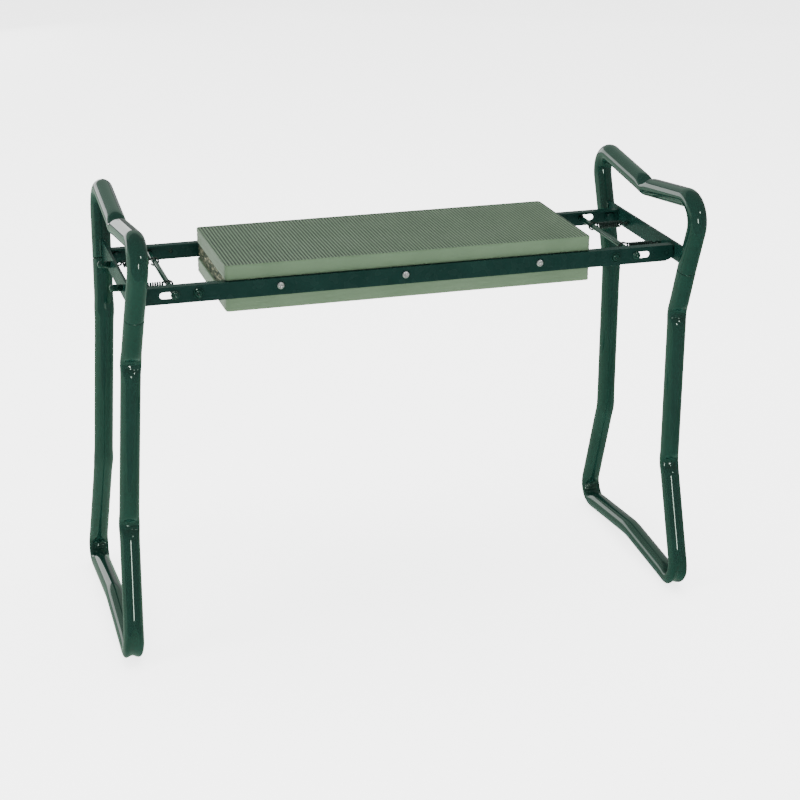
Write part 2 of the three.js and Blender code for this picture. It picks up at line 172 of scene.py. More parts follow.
def painted_tube():
    """Very glossy powder coat: soft waves in the gloss, and slightly thinner paint here and there."""
    material, nodes, links, shader = new_material("green_tube", (0.003, 0.015, 0.011), 0.08)
    shader.inputs["Specular IOR Level"].default_value = 0.75
    shader.inputs["Specular Tint"].default_value = (0.80, 1.0, 0.85, 1)
    tint = ramp(nodes, links, noise(nodes, links, 26), [
        (0.3, (0.0027, 0.0135, 0.0098)),
        (0.7, (0.0036, 0.0172, 0.0124)),
    ])
    links.new(tint, shader.inputs["Base Color"])
    gloss = ramp(nodes, links, noise(nodes, links, 60, 1), [(0.35, (0.05,) * 3), (0.75, (0.10,) * 3)])
    links.new(gloss, shader.inputs["Roughness"])
    bump(nodes, links, shader, noise(nodes, links, 45, 1), 0.10, 0.0003)
    return material


def painted_steel():
    """Darker, less glossy paint on the pressed steel, a little uneven in shade and gloss."""
    material, nodes, links, shader = new_material("green_steel", (0.006, 0.028, 0.024), 0.3)
    shader.inputs["Specular IOR Level"].default_value = 0.10
    tint = ramp(nodes, links, noise(nodes, links, 45, 5), [
        (0.3, (0.0026, 0.0135, 0.0105)),
        (0.75, (0.0036, 0.0175, 0.0135)),
    ])
    links.new(tint, shader.inputs["Base Color"])
    gloss = ramp(nodes, links, noise(nodes, links, 90, 1), [(0.3, (0.22,) * 3), (0.8, (0.32,) * 3)])
    links.new(gloss, shader.inputs["Roughness"])
    bump(nodes, links, shader, noise(nodes, links, 140, 1), 0.05, 0.0002)
    return material


def zinc_plate():
    """Bright plated screws, with fine turning marks."""
    material, nodes, links, shader = new_material("bare_steel", (0.92, 0.93, 0.91), 0.3, metallic=1)
    gloss = ramp(nodes, links, noise(nodes, links, 1500), [(0.3, (0.2,) * 3), (0.7, (0.42,) * 3)])
    links.new(gloss, shader.inputs["Roughness"])
    bump(nodes, links, shader, noise(nodes, links, 2600), 0.15, 0.0001)
    return material


def spring_wire():
    """Dark oiled wire, bright where the turns catch the light."""
    material, nodes, links, shader = new_material("spring_steel", (0.006, 0.014, 0.011), 0.22, metallic=0.2)
    tint = ramp(nodes, links, noise(nodes, links, 700), [
        (0.35, (0.003, 0.008, 0.006)),
        (0.7, (0.008, 0.017, 0.014)),
    ])
    links.new(tint, shader.inputs["Base Color"])
    bump(nodes, links, shader, noise(nodes, links, 2000), 0.1, 0.0001)
    return material


def closed_cell_foam():
    """Matte sage foam: fine cells, slow changes of shade like a cut sheet has, and painted shade deep in the
    rib grooves.
    """
    material, nodes, links, shader = new_material("foam", (0.20, 0.30, 0.19), 0.85)
    shader.inputs["Specular IOR Level"].default_value = 0.25
    shader.inputs["Sheen Weight"].default_value = 0.12
    tint = ramp(nodes, links, noise(nodes, links, 14, 6), [
        (0.3, (0.054, 0.091, 0.050)),
        (0.55, (0.061, 0.100, 0.056)),
        (0.8, (0.069, 0.107, 0.064)),
    ])
    # Painted shade: the groove attribute multiplies the foam's colour down to this dark tint deep in each rib
    # groove.
    groove = nodes.new("ShaderNodeAttribute")
    groove.attribute_name = "groove"
    shade = nodes.new("ShaderNodeMix")
    shade.data_type = "RGBA"
    shade.blend_type = "MULTIPLY"
    shade.inputs["B"].default_value = (0.14, 0.17, 0.18, 1)
    links.new(groove.outputs["Fac"], shade.inputs["Factor"])
    links.new(tint, shade.inputs["A"])
    links.new(shade.outputs["Result"], shader.inputs["Base Color"])
    cells = nodes.new("ShaderNodeTexVoronoi")
    cells.inputs["Scale"].default_value = 1300
    links.new(object_coordinates(nodes), cells.inputs["Vector"])
    skin = bump(nodes, links, shader, cells.outputs["Distance"], 0.35, 0.0003)
    bump(nodes, links, shader, noise(nodes, links, 160, 4), 0.3, 0.0006, skin)
    return material


def chipboard():
    """Pressed wood flakes, dark with paint and glue, with pale chips."""
    material, nodes, links, shader = new_material("chipboard", (0.06, 0.07, 0.04), 0.8)
    flakes = nodes.new("ShaderNodeTexVoronoi")
    flakes.inputs["Scale"].default_value = 420
    flakes.inputs["Randomness"].default_value = 1.0
    stretch = nodes.new("ShaderNodeMapping")
    stretch.inputs["Scale"].default_value = (1, 0.45, 1.3)
    links.new(object_coordinates(nodes), stretch.inputs["Vector"])
    links.new(stretch.outputs["Vector"], flakes.inputs["Vector"])
    separate = nodes.new("ShaderNodeSeparateColor")
    links.new(flakes.outputs["Color"], separate.inputs["Color"])
    tint = ramp(nodes, links, separate.outputs["Red"], [
        (0.0, (0.006, 0.012, 0.007)),
        (0.55, (0.022, 0.032, 0.018)),
        (0.8, (0.055, 0.060, 0.034)),
        (0.95, (0.15, 0.145, 0.09)),
    ])
    links.new(tint, shader.inputs["Base Color"])
    rough = bump(nodes, links, shader, flakes.outputs["Distance"], 0.7, 0.0012)
    bump(nodes, links, shader, noise(nodes, links, 700, 5), 0.5, 0.0006, rough)
    return material


def floor_paint():
    material, nodes, links, shader = new_material("floor", (0.9, 0.9, 0.895), 0.7)
    tint = ramp(nodes, links, noise(nodes, links, 3), [(0.3, (0.89,) * 3), (0.7, (0.91,) * 3)])
    links.new(tint, shader.inputs["Base Color"])
    shader.inputs["Emission Color"].default_value = (1, 1, 1, 1)
    shader.inputs["Emission Strength"].default_value = 3.2
    return material


MATERIALS = {
    "green_tube": painted_tube(),
    "green_steel": painted_steel(),
    "bare_steel": zinc_plate(),
    "spring_steel": spring_wire(),
    "foam": closed_cell_foam(),
    "chipboard": chipboard(),
}


# ---------------------------------------------------------------- meshes and where they go

def add_mesh(name, vertices, faces, slot, smooth=True):
    """vertices are in millimetres."""
    mesh = bpy.data.meshes.new(name)
    mesh.from_pydata([Vector(v) * MM for v in vertices], [], faces)
    mesh.materials.append(MATERIALS[slot])
    mesh.polygons.foreach_set("use_smooth", [smooth] * len(mesh.polygons))
    mesh.update()
    piece = bpy.data.objects.new(name, mesh)
    bpy.context.scene.collection.objects.link(piece)
    return piece


def sharpen(piece, degrees=40):
    """Smooth shading, but crisp where faces meet at more than this angle."""
    piece.data.set_sharp_from_angle(angle=math.radians(degrees))


def seat_matrix():
    return Matrix.Translation((SEAT_X, 0, SEAT_LIFT))


def leg_matrix(end):
    """Turns a piece made for the right leg round to its own end, and opens it by the splay."""
    side = ENDS[end]
    hinge = Matrix.Translation((side * HINGE_X * MM, 0, HINGE_Z * MM))
    open_out = Matrix.Rotation(math.radians(-side * SPLAY[end]), 4, "Y")
    half_turn = Matrix.Rotation(math.pi if side < 0 else 0, 4, "Z")
    return seat_matrix() @ hinge @ open_out @ hinge.inverted() @ half_turn


def put(piece, matrix, body):
    piece.data.transform(matrix)
    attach(piece, body)


def grid_faces(rings, around, closed=True):
    """Faces between rings of vertices, each with the same number round it."""
    faces = []
    for i in range(rings - 1):
        for k in range(around if closed else around - 1):
            n = (k + 1) % around
            a = i * around + k
            b = i * around + n
            faces.append((a, b, b + around, a + around))
    return faces


# ---------------------------------------------------------------- bent tube

def rounded_path(corners, spacing=3.0):
    """Points along straight runs and round bends in the (y, z) plane.

    corners is a list of (y, z, bend radius). Gives the points and, for each corner, how far
    along the path the middle of its bend lies.
    """
    points = [Vector(corners[0][:2])]
    marks = [(0, 0)]
    for i in range(1, len(corners) - 1):
        before = Vector(corners[i - 1][:2])
        corner = Vector(corners[i][:2])
        after = Vector(corners[i + 1][:2])
        radius = corners[i][2]
        back = (before - corner).normalized()
        ahead = (after - corner).normalized()
        half = back.angle(ahead) / 2
        centre = corner + (back + ahead).normalized() * radius / math.sin(half)
        start = corner + back * radius / math.tan(half) - centre
        sweep = start.angle_signed(corner + ahead * radius / math.tan(half) - centre)
        steps = 2 * max(3, round(abs(sweep) * radius / 2.4))
        for k in range(steps + 1):
            angle = -sweep * k / steps
            turn = Matrix.Rotation(angle, 2)
            points.append(centre + turn @ start)
            if k == steps // 2:
                marks.append((i, len(points) - 1))
    points.append(Vector(corners[-1][:2]))

    dense = [points[0]]
    where = {0: 0.0}
    length = 0.0
    for i in range(1, len(points)):
        gap = points[i] - points[i - 1]
        pieces = max(1, math.ceil(gap.length / spacing))
        for k in range(1, pieces + 1):
            dense.append(points[i - 1] + gap * k / pieces)
        length += gap.length
        where[i] = length
    return dense, {corner: where[index] for corner, index in marks}


def dent_depth(dent, along, across, lateral):
    """How far a crushed bend pushes one point of the wall in.

    across is 1 on the dented side and -1 opposite; lateral runs from -1 to 1 over the tube.
    """
    reach = abs(along - dent["at"]) / dent["length"]
    if reach > 2.2:
        return 0.0
    flat = 1 / (1 + reach ** 5)
    if across > 0:
        crease = 0.22 * math.exp(-((along - dent["at"]) / 1.8) ** 2)
        lobes = 0.20 * math.exp(-((abs(lateral) - 0.5) / 0.16) ** 2 - ((reach - 0.6) / 0.25) ** 2)
        return dent["depth"] * flat * (across ** 1.4) * (1 + crease + lobes)
    long_flat = 1 / (1 + (reach / 1.5) ** 6)
    groove = math.exp(-(lateral / 0.36) ** 2)
    return -dent.get("groove", 0) * long_flat * groove * (-across) ** 2


def bent_tube(name, path, dents, sides=40):
    """A round tube along a path at the right leg's place, with crushed bends and turned-in ends."""
    distance = [0.0]
    for before, after in zip(path, path[1:]):
        distance.append(distance[-1] + (after - before).length)
    last = len(path) - 1

    def ring(i, radius, shift=0.0):
        tangent = (path[min(i + 1, last)] - path[max(i - 1, 0)]).normalized()
        outward = Vector((tangent.y, -tangent.x))
        centre = path[i] + tangent * shift
        vertices = []
        for k in range(sides):
            angle = 2 * math.pi * k / sides
            out = radius * math.cos(angle)
            lateral = radius * math.sin(angle)
            squeeze = 0.0
            for dent in dents:
                across = math.cos(angle) * dent["side"]
                squeeze += dent["side"] * dent_depth(dent, distance[i], across, math.sin(angle))
                bulge = 1 / (1 + (abs(distance[i] - dent["at"]) / dent["length"]) ** 4)
                lateral *= 1 + 0.05 * bulge * (dent["depth"] / 5)
                square = dent.get("square", 0) * bulge * max(0.0, -across)
                lateral *= 1 + square * (1 - math.sin(angle) ** 2)
            point = centre + outward * (out - squeeze)
            vertices.append((LOOP_X + lateral, point.x, point.y))
        return vertices

    rings = [ring(0, TUBE_RADIUS - TUBE_WALL, 9), ring(0, TUBE_RADIUS - TUBE_WALL, 0.3)]
    rings += [ring(0, TUBE_RADIUS - 0.55, 0.0), ring(0, TUBE_RADIUS - 0.12, 0.25)]
    rings += [ring(0, TUBE_RADIUS, 0.8)]
    rings += [ring(i, TUBE_RADIUS) for i in range(1, last)]
    rings += [ring(last, TUBE_RADIUS, -0.8), ring(last, TUBE_RADIUS - 0.12, -0.25)]
    rings += [ring(last, TUBE_RADIUS - 0.55, 0.0), ring(last, TUBE_RADIUS - TUBE_WALL, -0.3)]
    rings += [ring(last, TUBE_RADIUS - TUBE_WALL, -9)]
    vertices = [v for each in rings for v in each]
    return add_mesh(name, vertices, grid_faces(len(rings), sides), "green_tube")


def upper_half_width(z):
    return WAIST_HALF_WIDTH + UPRIGHT_LEAN * (z - UPPER_BEND_Z)


def foot_height(degrees):
    """Height of the foot corner's centre line, so that a splayed leg still reaches the floor."""
    tilt = math.radians(degrees)
    lowest_centre = TUBE_RADIUS - 3.02
    offset = LOOP_X - HINGE_X
    return HINGE_Z - (HINGE_Z - lowest_centre + offset * math.sin(tilt)) / math.cos(tilt)


def handle_tube(end):
    joint_z = TUBE_JOINT_Z + 0.15
    straight_z = HANDLE_MIDDLE_Z - 26
    corner_y = upper_half_width(HANDLE_MIDDLE_Z + 19) + HANDLE_CORNER_SPREAD
    corner_z = HANDLE_MIDDLE_Z + corner_y * HANDLE_RISE
    half = [
        (upper_half_width(joint_z), joint_z, 0),
        (corner_y, corner_z, HANDLE_CORNER_RADIUS),
    ]
    front = [(-y, z, r) for y, z, r in half]
    path, bends = rounded_path(front + [(0, HANDLE_MIDDLE_Z, 10)] + half[::-1])
    dents = [
        {"at": bends[2], "side": -1, "depth": 5.0, "length": 9},
        {"at": bends[1], "side": 1, "depth": 1.8, "length": 14},
        {"at": bends[3], "side": 1, "depth": 1.8, "length": 14},
    ]
    tube = bent_tube(f"{end}_handle_tube_look", path, dents)
    put(tube, leg_matrix(end), f"{end}_leg")
    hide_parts(f"{end}_handle_tube")


def leg_tube(end):
    foot_z = foot_height(SPLAY[end])
    joint_z = TUBE_JOINT_Z - 0.15
    half = [
        (upper_half_width(joint_z), joint_z, 0),
        (WAIST_HALF_WIDTH, UPPER_BEND_Z, WAIST_BEND_RADIUS),
        (WAIST_HALF_WIDTH, LOWER_BEND_Z, WAIST_BEND_RADIUS),
        (WAIST_HALF_WIDTH + UPRIGHT_LEAN * (LOWER_BEND_Z - foot_z), foot_z, FOOT_CORNER_RADIUS),
    ]
    front = [(-y, z, r) for y, z, r in half]
    path, bends = rounded_path(front + [(0, foot_z + GROUND_BAR_ARCH, 120)] + half[::-1])
    waist = {"side": 1, "depth": 5.2, "length": 8.5}
    foot = {"side": -1, "depth": 7.0, "length": 14, "groove": 4.2, "square": 0.5}
    dents = [{"at": bends[i], **waist} for i in (1, 2, 6, 7)]
    dents += [{"at": bends[i], **foot} for i in (3, 5)]
    tube = bent_tube(f"{end}_leg_tube_look", path, dents)
    put(tube, leg_matrix(end), f"{end}_leg")
    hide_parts(f"{end}_leg_tube")


# ---------------------------------------------------------------- round wire and weld beads

def round_wire(name, points, radius, slot, sides=10):
    """A wire through points (x, y, z). radius is one number, or one for each point."""
    points = [Vector(p) for p in points]
    radii = radius if isinstance(radius, list) else [radius] * len(points)
    last = len(points) - 1
    side = Vector((0.13, 0.21, 1)).normalized()
    vertices = []
    for i, point in enumerate(points):
        tangent = (points[min(i + 1, last)] - points[max(i - 1, 0)]).normalized()
        side = (side - tangent * side.dot(tangent)).normalized()
        other = tangent.cross(side)
        for k in range(sides):
            angle = 2 * math.pi * k / sides
            vertices.append(point + (side * math.cos(angle) + other * math.sin(angle)) * radii[i])
    faces = grid_faces(len(points), sides)
    faces.append(tuple(range(sides - 1, -1, -1)))
    faces.append(tuple(last * sides + k for k in range(sides)))
    return add_mesh(name, vertices, faces, slot)


def plate_end_y(z):
    """Where the upright's inner face meets the cross plate."""
    return upper_half_width(z) - TUBE_RADIUS * math.hypot(1, UPRIGHT_LEAN)


def weld_beads(end):
    """Lumpy beads down both faces of the cross plate where it meets the uprights."""
    random.seed(11 if end == "left" else 12)
    for side_name, front in SIDES.items():
        for face_name, face in (("inner", -1), ("outer", 1)):
            steps = 26
            points = []
            radii = []
            for i in range(steps + 1):
                z = PLATE_BOTTOM_Z + 0.5 + (PLATE_TOP_Z - PLATE_BOTTOM_Z - 1) * i / steps
                x = LOOP_X + face * (PLATE_STEEL / 2 + 0.5)
                points.append((x, front * (plate_end_y(z) + 0.2), z))
                ripple = 0.25 * math.sin(i * 2.1) + random.uniform(-0.15, 0.2)
                ends = min(1.0, 0.45 + 0.3 * min(i, steps - i))
                radii.append((1.75 + ripple) * ends)
            name = f"{end}_{side_name}_{face_name}_weld"
            bead = round_wire(name, points, radii, "green_tube", 12)
            put(bead, leg_matrix(end), f"{end}_leg")


def weld_spatter(end):
    """Small drops of weld under the paint, round the ends of the cross plate."""
    random.seed(21 if end == "left" else 22)
    vertices = []
    faces = []
    for front in (-1, 1):
        for _ in range(26):
            z = random.gauss(PLATE_BOTTOM_Z + 12, 12)
            angle = random.uniform(-1.25, 1.25)
            size = random.uniform(0.25, 0.62)
            inward = Vector((math.sin(angle), -front * math.cos(angle), 0))
            centre = Vector((LOOP_X, front * upper_half_width(z), z)) + inward * (TUBE_RADIUS + 0.1)
            start = len(vertices)
            for ring_height in (-0.7, 0.0, 0.7):
                for k in range(6):
                    turn = 2 * math.pi * k / 6
                    spread = math.cos(ring_height)
                    vertices.append(centre + size * Vector((
                        spread * math.cos(turn), spread * math.sin(turn), math.sin(ring_height) * 1.3,
                    )))
            vertices += [centre - Vector((0, 0, size)), centre + Vector((0, 0, size))]
            for i in range(2):
                for k in range(6):
                    n = (k + 1) % 6
                    a = start + i * 6
                    faces.append((a + k, a + n, a + 6 + n, a + 6 + k))
            for k in range(6):
                n = (k + 1) % 6
                faces.append((start + n, start + k, start + 18))
                faces.append((start + 12 + k, start + 12 + n, start + 19))
    drops = add_mesh(f"{end}_weld_spatter", vertices, faces, "green_tube")
    put(drops, leg_matrix(end), f"{end}_leg")


def weld_dashes():
    """Two short upright dashes of weld on the front of the left handle tube."""
    for i, offset in enumerate((-2.6, 2.6)):
        points = []
        radii = []
        for k in range(9):
            z = 410.5 + k
            lean = Vector((0, 1, -UPRIGHT_LEAN)).normalized()
            out = math.sqrt(TUBE_RADIUS ** 2 - offset ** 2) - 0.55
            points.append(Vector((LOOP_X + offset, upper_half_width(z), z)) + lean * out)
            radii.append(0.95 * math.sqrt(max(0.12, 1 - ((k - 4) / 4.6) ** 2)))
        dash = round_wire(f"left_front_weld_dash_{i + 1}", points, radii, "green_steel", 10)
        put(dash, leg_matrix("left"), "left_leg")


# ---------------------------------------------------------------- turned pieces

def turned(name, profile, slot, sides=40, axis="Y"):
    """A turned solid about +Y or +X. profile is a list of (distance along the axis, radius)."""
    vertices = []
    for along, radius in profile:
        for k in range(sides):
            angle = 2 * math.pi * k / sides
            across = radius * math.cos(angle)
            up = radius * math.sin(angle)
            vertices.append((across, along, up) if axis == "Y" else (along, -across, up))
    faces = grid_faces(len(profile), sides)
    faces = [face[::-1] for face in faces]
    faces.append(tuple(range(sides)))
    faces.append(tuple((len(profile) - 1) * sides + k for k in range(sides - 1, -1, -1)))
    piece = add_mesh(name, vertices, faces, slot)
    sharpen(piece, 50)
    return piece


def facing(front):
    """A piece made pointing along +Y is turned to face the front or the rear."""
    return Matrix.Rotation(math.pi if front < 0 else 0, 4, "Z")


def board_screw(side_name, front, name, x):
    """A pan head with a cross recess: the head's radius and height vary round the recess."""
    sides = 48
    radii = [0.35, 0.8, 1.25, 1.7, 2.1, 2.6, 3.1, 3.5, 3.8, 3.9, 3.9]
    vertices = []
    for i, radius in enumerate(radii):
        for k in range(sides):
            angle = 2 * math.pi * k / sides
            height = 2.5 * math.sqrt(max(0.0, 1 - (radius / 4.3) ** 2)) + 0.15
            if i == len(radii) - 1:
                height = 0.1
            cross = abs(math.cos(2 * angle)) ** 5
            reach = 1.5 + 1.1 * cross
            recess = 1 / (1 + (radius / reach) ** 8)
            vertices.append((radius * math.cos(angle), height - 1.9 * recess, radius * math.sin(angle)))
    faces = grid_faces(len(radii), sides)
    faces.append(tuple(range(sides - 1, -1, -1)))
    screw = add_mesh(f"{side_name}_{name}_board_screw_look", vertices, faces, "bare_steel")
    place = Matrix.Translation((x * MM, front * RAIL_OUTER_Y * MM, BOARD_SCREW_Z * MM))
    put(screw, seat_matrix() @ place @ facing(front), "seat_frame")
    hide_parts(f"{side_name}_{name}_board_screw")


def rail_rivet(side_name, front, end, side):
    """A painted tubular rivet: a flat rim, a rolled ring, and a small hollow in the middle."""
    profile = [
        (0.1, 5.8), (0.8, 5.8), (1.3, 5.55), (1.4, 5.1), (0.7, 4.5), (0.6, 4.1),
        (1.7, 3.75), (2.35, 3.2), (2.6, 2.5), (2.45, 1.9), (1.3, 1.35), (0.9, 0.7), (0.85, 0.2),
    ]
    rivet = turned(f"{side_name}_{end}_rail_rivet_look", profile, "green_tube", 36)
    place = Matrix.Translation((side * RAIL_RIVET_X * MM, front * RAIL_OUTER_Y * MM, HINGE_Z * MM))
    put(rivet, seat_matrix() @ place @ facing(front), "seat_frame")
    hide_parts(f"{side_name}_{end}_rail_rivet")


def hinge_pin(side_name, front, end, side):
    """A flush pin, peened over inside the ear of the cross plate."""
    profile = [
        (-7.6, 2.2), (-7.4, 3.4), (-6.8, 4.9), (-5.6, 5.2), (-5.2, 5.0), (-5.1, 3.0),
        (-0.7, 3.0), (-0.35, 2.75), (-0.3, 1.6), (-0.7, 0.9), (-0.75, 0.3),
    ]
    pin = turned(f"{side_name}_{end}_hinge_pin_look", profile, "green_steel", 32)
    place = Matrix.Translation((side * HINGE_X * MM, front * RAIL_OUTER_Y * MM, HINGE_Z * MM))
    put(pin, seat_matrix() @ place @ facing(front), "seat_frame")
    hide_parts(f"{side_name}_{end}_hinge_pin")


def lock_rod(end, side):
    """A painted rod with a riveted-over head and a washer outside each rail."""
    outside = RAIL_OUTER_Y + 0.3
    head = [
        (outside, 3.0), (outside, 4.6), (outside + 0.3, 4.8), (outside + 0.9, 4.8),
        (outside + 1.1, 4.5), (outside + 1.15, 3.9), (outside + 1.9, 3.6),
        (outside + 2.3, 2.7), (outside + 2.35, 1.6), (outside + 1.8, 0.9), (outside + 1.75, 0.2),
    ]
    profile = [(-y, r) for y, r in head[::-1]] + head
    rod = turned(f"{end}_lock_rod_look", profile, "green_tube", 32)
    place = Matrix.Translation((side * ROD_X * MM, 0, HINGE_Z * MM))
    put(rod, seat_matrix() @ place, f"{end}_lock")
    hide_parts(f"{end}_lock_rod")


def spring_stud(end, side_name, y):
    """A shouldered stud with a rounded tip outside the plate, and a flat eye inside it."""
    outer = LOOP_X + PLATE_STEEL / 2 + 0.3
    profile = [
        (outer - 6, 2.1), (outer, 2.1), (outer, 3.6), (outer + 0.3, 3.9), (outer + 10.6, 3.9),
        (outer + 11.6, 3.6), (outer + 12.8, 2.9), (outer + 13.4, 1.9), (outer + 13.5, 0.4),
    ]
    stud = turned(f"{end}_{side_name}_spring_stud_look", profile, "green_tube", 32, axis="X")
    stud.data.transform(Matrix.Translation((0, y * MM, HINGE_Z * MM)))
    put(stud, leg_matrix(end), f"{end}_leg")
    eye = []
    for i in range(25):
        angle = math.radians(-155 + 310 * i / 24)
        eye.append((STUD_HOLE_X - 2.6 * math.cos(angle - math.pi), y, HINGE_Z + 2.6 * math.sin(angle)))
    loop = round_wire(f"{end}_{side_name}_spring_eye", eye, 0.9, "green_steel", 10)
    put(loop, leg_matrix(end), f"{end}_leg")
    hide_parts(f"{end}_{side_name}_spring_stud")


# ---------------------------------------------------------------- springs

def spring(end, side_name, side, y):
    """A hook round the lock rod, a coil with a mesh of its own, and a hook to the stud."""
    place = seat_matrix() @ Matrix.Rotation(math.pi if side < 0 else 0, 4, "Z")
    y = y * side
    rod_loop = ROD_RADIUS + SPRING_WIRE + 0.4
    hook = []
    for i in range(25):
        angle = math.radians(-150 + 273 * i / 24)
        hook.append((ROD_X - rod_loop * math.cos(angle), y, HINGE_Z + rod_loop * math.sin(angle)))
    hook.append((SPRING_INNER_X - 1.5, y, HINGE_Z + SPRING_RADIUS))
    hook.append((SPRING_INNER_X + 0.6, y, HINGE_Z + SPRING_RADIUS))
    rod_hook = round_wire(f"{end}_{side_name}_spring_rod_hook", hook, SPRING_WIRE, "spring_steel")
    put(rod_hook, place, f"{end}_lock")

    coil = []
    steps = SPRING_TURNS * 18
    for i in range(steps + 1):
        angle = 2 * math.pi * i / 18
        x = SPRING_INNER_X + (SPRING_OUTER_X - SPRING_INNER_X) * i / steps
        coil.append((x, y + SPRING_RADIUS * math.sin(angle), HINGE_Z + SPRING_RADIUS * math.cos(angle)))
    turns = round_wire(f"{end}_{side_name}_spring_coil", coil, SPRING_WIRE, "spring_steel", 8)
    put(turns, place, "seat_frame")
    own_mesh(turns)

    tail = [(SPRING_OUTER_X - 0.4, y, HINGE_Z + SPRING_RADIUS)]
    tail.append((SPRING_OUTER_X + 0.8, y, HINGE_Z + SPRING_RADIUS * 0.9))
    tail.append((SPRING_OUTER_X + 2.0, y, HINGE_Z + SPRING_RADIUS * 0.4))
    for i in range(19):
        angle = math.radians(200 - 270 * i / 18)
        tail.append((STUD_HOLE_X - 3 + 3 * math.cos(angle), y + 3 * math.sin(angle), HINGE_Z))
    stud_hook = round_wire(f"{end}_{side_name}_spring_stud_hook", tail, SPRING_WIRE, "spring_steel")
    stud_hook.data.transform(place)
    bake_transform(stud_hook)
    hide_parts(f"{end}_{side_name}_spring")


# ---------------------------------------------------------------- foam pads

def rib_height(x):
    """Rounded ribs side by side, with narrower grooves between them."""
    wave = 0.5 + 0.5 * math.cos(2 * math.pi * x / RIB_PITCH)
    return -RIB_DEPTH * (1 - wave ** 0.9)


def painted_groove_shade(x):
    """How much painted shade the foam gets at x: 0 on top of a rib, 1 deep in a groove."""
    depth = -rib_height(x) / RIB_DEPTH
    return min(1.0, max(0.0, 1.9 * depth - 0.35))


def foam_pad(node, ribs_up):
    """A cut slab of foam. Its broad face is ribbed front to back and its sides are a little uneven."""
    low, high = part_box(node)
    low = Vector(low) / MM
    high = Vector(high) / MM
    middle = (low + high) / 2
    half_x = (high.x - low.x) / 2
    half_y = (high.y - low.y) / 2
    thick = high.z - low.z
    columns = 8 * round(2 * half_x / RIB_PITCH)
    rows = 30
    inner_x = half_x - PAD_EDGE
    inner_y = half_y - PAD_EDGE
    corner = PAD_CORNER - PAD_EDGE

    def plan(u, v):
        """Square grid position to a rectangle with rounded corners."""
        x = u * inner_x
        y = v * inner_y
        over_x = (abs(x) - (inner_x - corner)) / corner
        over_y = (abs(y) - (inner_y - corner)) / corner
        if over_x > 0 and over_y > 0:
            round_x = over_x * math.sqrt(1 - over_y ** 2 / 2)
            round_y = over_y * math.sqrt(1 - over_x ** 2 / 2)
            x = math.copysign(inner_x - corner + corner * round_x, x)
            y = math.copysign(inner_y - corner + corner * round_y, y)
        return x, y

    us = [-1 + 2 * i / columns for i in range(columns + 1)]
    edge = [0.0, 0.006, 0.014, 0.026]
    vs = [-1 + e for e in edge] + [-1 + 0.026 + (2 - 0.052) * j / rows for j in range(1, rows)]
    vs += [1 - e for e in edge[::-1]]
    count_u = len(us)
    count_v = len(vs)
    vertices = []
    for v in vs:
        for u in us:
            x, y = plan(u, v)
            near_end = min(1.0, (inner_x - abs(x)) / 1.5)
            near_side = min(1.0, 0.35 + (inner_y - abs(y)) / 1.6)
            wobble = 0.10 * math.sin(x * 0.045 + y * 0.02) + 0.07 * math.sin(y * 0.11 + x * 0.013)
            height = rib_height(x) * max(0.0, near_end) * near_side + wobble * near_end
            vertices.append((x, y, thick / 2 - 0.1 + height))
    faces = grid_faces(count_v, count_u, closed=False)

    rim = [i for i in range(count_u - 1)]
    rim += [j * count_u + count_u - 1 for j in range(count_v - 1)]
    rim += [(count_v - 1) * count_u + i for i in range(count_u - 1, 0, -1)]
    rim += [j * count_u for j in range(count_v - 1, 0, -1)]
    around = len(rim)
    normals = []
    for k in range(around):
        before = Vector(vertices[rim[k - 1]])
        after = Vector(vertices[rim[(k + 1) % around]])
        along = after - before
        normals.append(Vector((along.y, -along.x, 0)).normalized())

    def side_ring(out, z, uneven):
        start = len(vertices)
        for k in range(around):
            x, y, _ = vertices[rim[k]]
            slow = 0.18 * math.sin(x * 0.07 + y * 0.05 + z)
            quick = 0.12 * math.sin(x * 0.19 - y * 0.13)
            bulge = uneven * (slow + quick)
            vertices.append((x + normals[k].x * (out + bulge), y + normals[k].y * (out + bulge), z))
        return list(range(start, start + around))

    loops = [rim]
    for t in (0.35, 0.7, 1.0):
        angle = t * math.pi / 2
        loops.append(side_ring(PAD_EDGE * math.sin(angle), thick / 2 - PAD_EDGE * (1 - math.cos(angle)), 0.3))
    levels = 6
    for i in range(1, levels):
        z = thick / 2 - PAD_EDGE - (thick - 2 * PAD_EDGE) * i / levels
        loops.append(side_ring(PAD_EDGE - 0.15, z, 1.0))
    for t in (1.0, 0.7, 0.35, 0.0):
        angle = t * math.pi / 2
        loops.append(side_ring(PAD_EDGE * math.sin(angle), -thick / 2 + PAD_EDGE * (1 - math.cos(angle)), 0.3))
    for upper, lower in zip(loops, loops[1:]):
        for k in range(around):
            n = (k + 1) % around
            faces.append((upper[n], upper[k], lower[k], lower[n]))
    faces.append(tuple(loops[-1][::-1]))

    flip = 1 if ribs_up else -1
    placed = [(middle.x + x, middle.y + flip * y, middle.z + flip * z) for x, y, z in vertices]
    pad = add_mesh(f"{node}_look", placed, faces, "foam")
    # The groove attribute carries painted shade: it darkens the foam's colour deep in each rib groove.
    grooves = pad.data.attributes.new("groove", "FLOAT", "POINT")
    ribbed = count_u * count_v
    painted_shade_values = [painted_groove_shade(x) for x, _, _ in vertices[:ribbed]]
    grooves.data.foreach_set("value", painted_shade_values + [0.0] * (len(vertices) - ribbed))
    sharpen(pad, 65)
    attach(pad, "seat_frame")
    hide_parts(node)


# ---------------------------------------------------------------- pressed steel and the board, from CAD

def finish_cad_piece(node, slot, edge):
    """Keeps a CAD solid, with softened edges and its own material."""
    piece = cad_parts[node]
    piece.data.materials.clear()
    piece.data.materials.append(MATERIALS[slot])
    soften = piece.modifiers.new("soft edges", "BEVEL")
    soften.width = edge * MM
    soften.segments = 3
    soften.limit_method = "ANGLE"
    soften.angle_limit = math.radians(35)
    soften.harden_normals = False


# ---------------------------------------------------------------- build

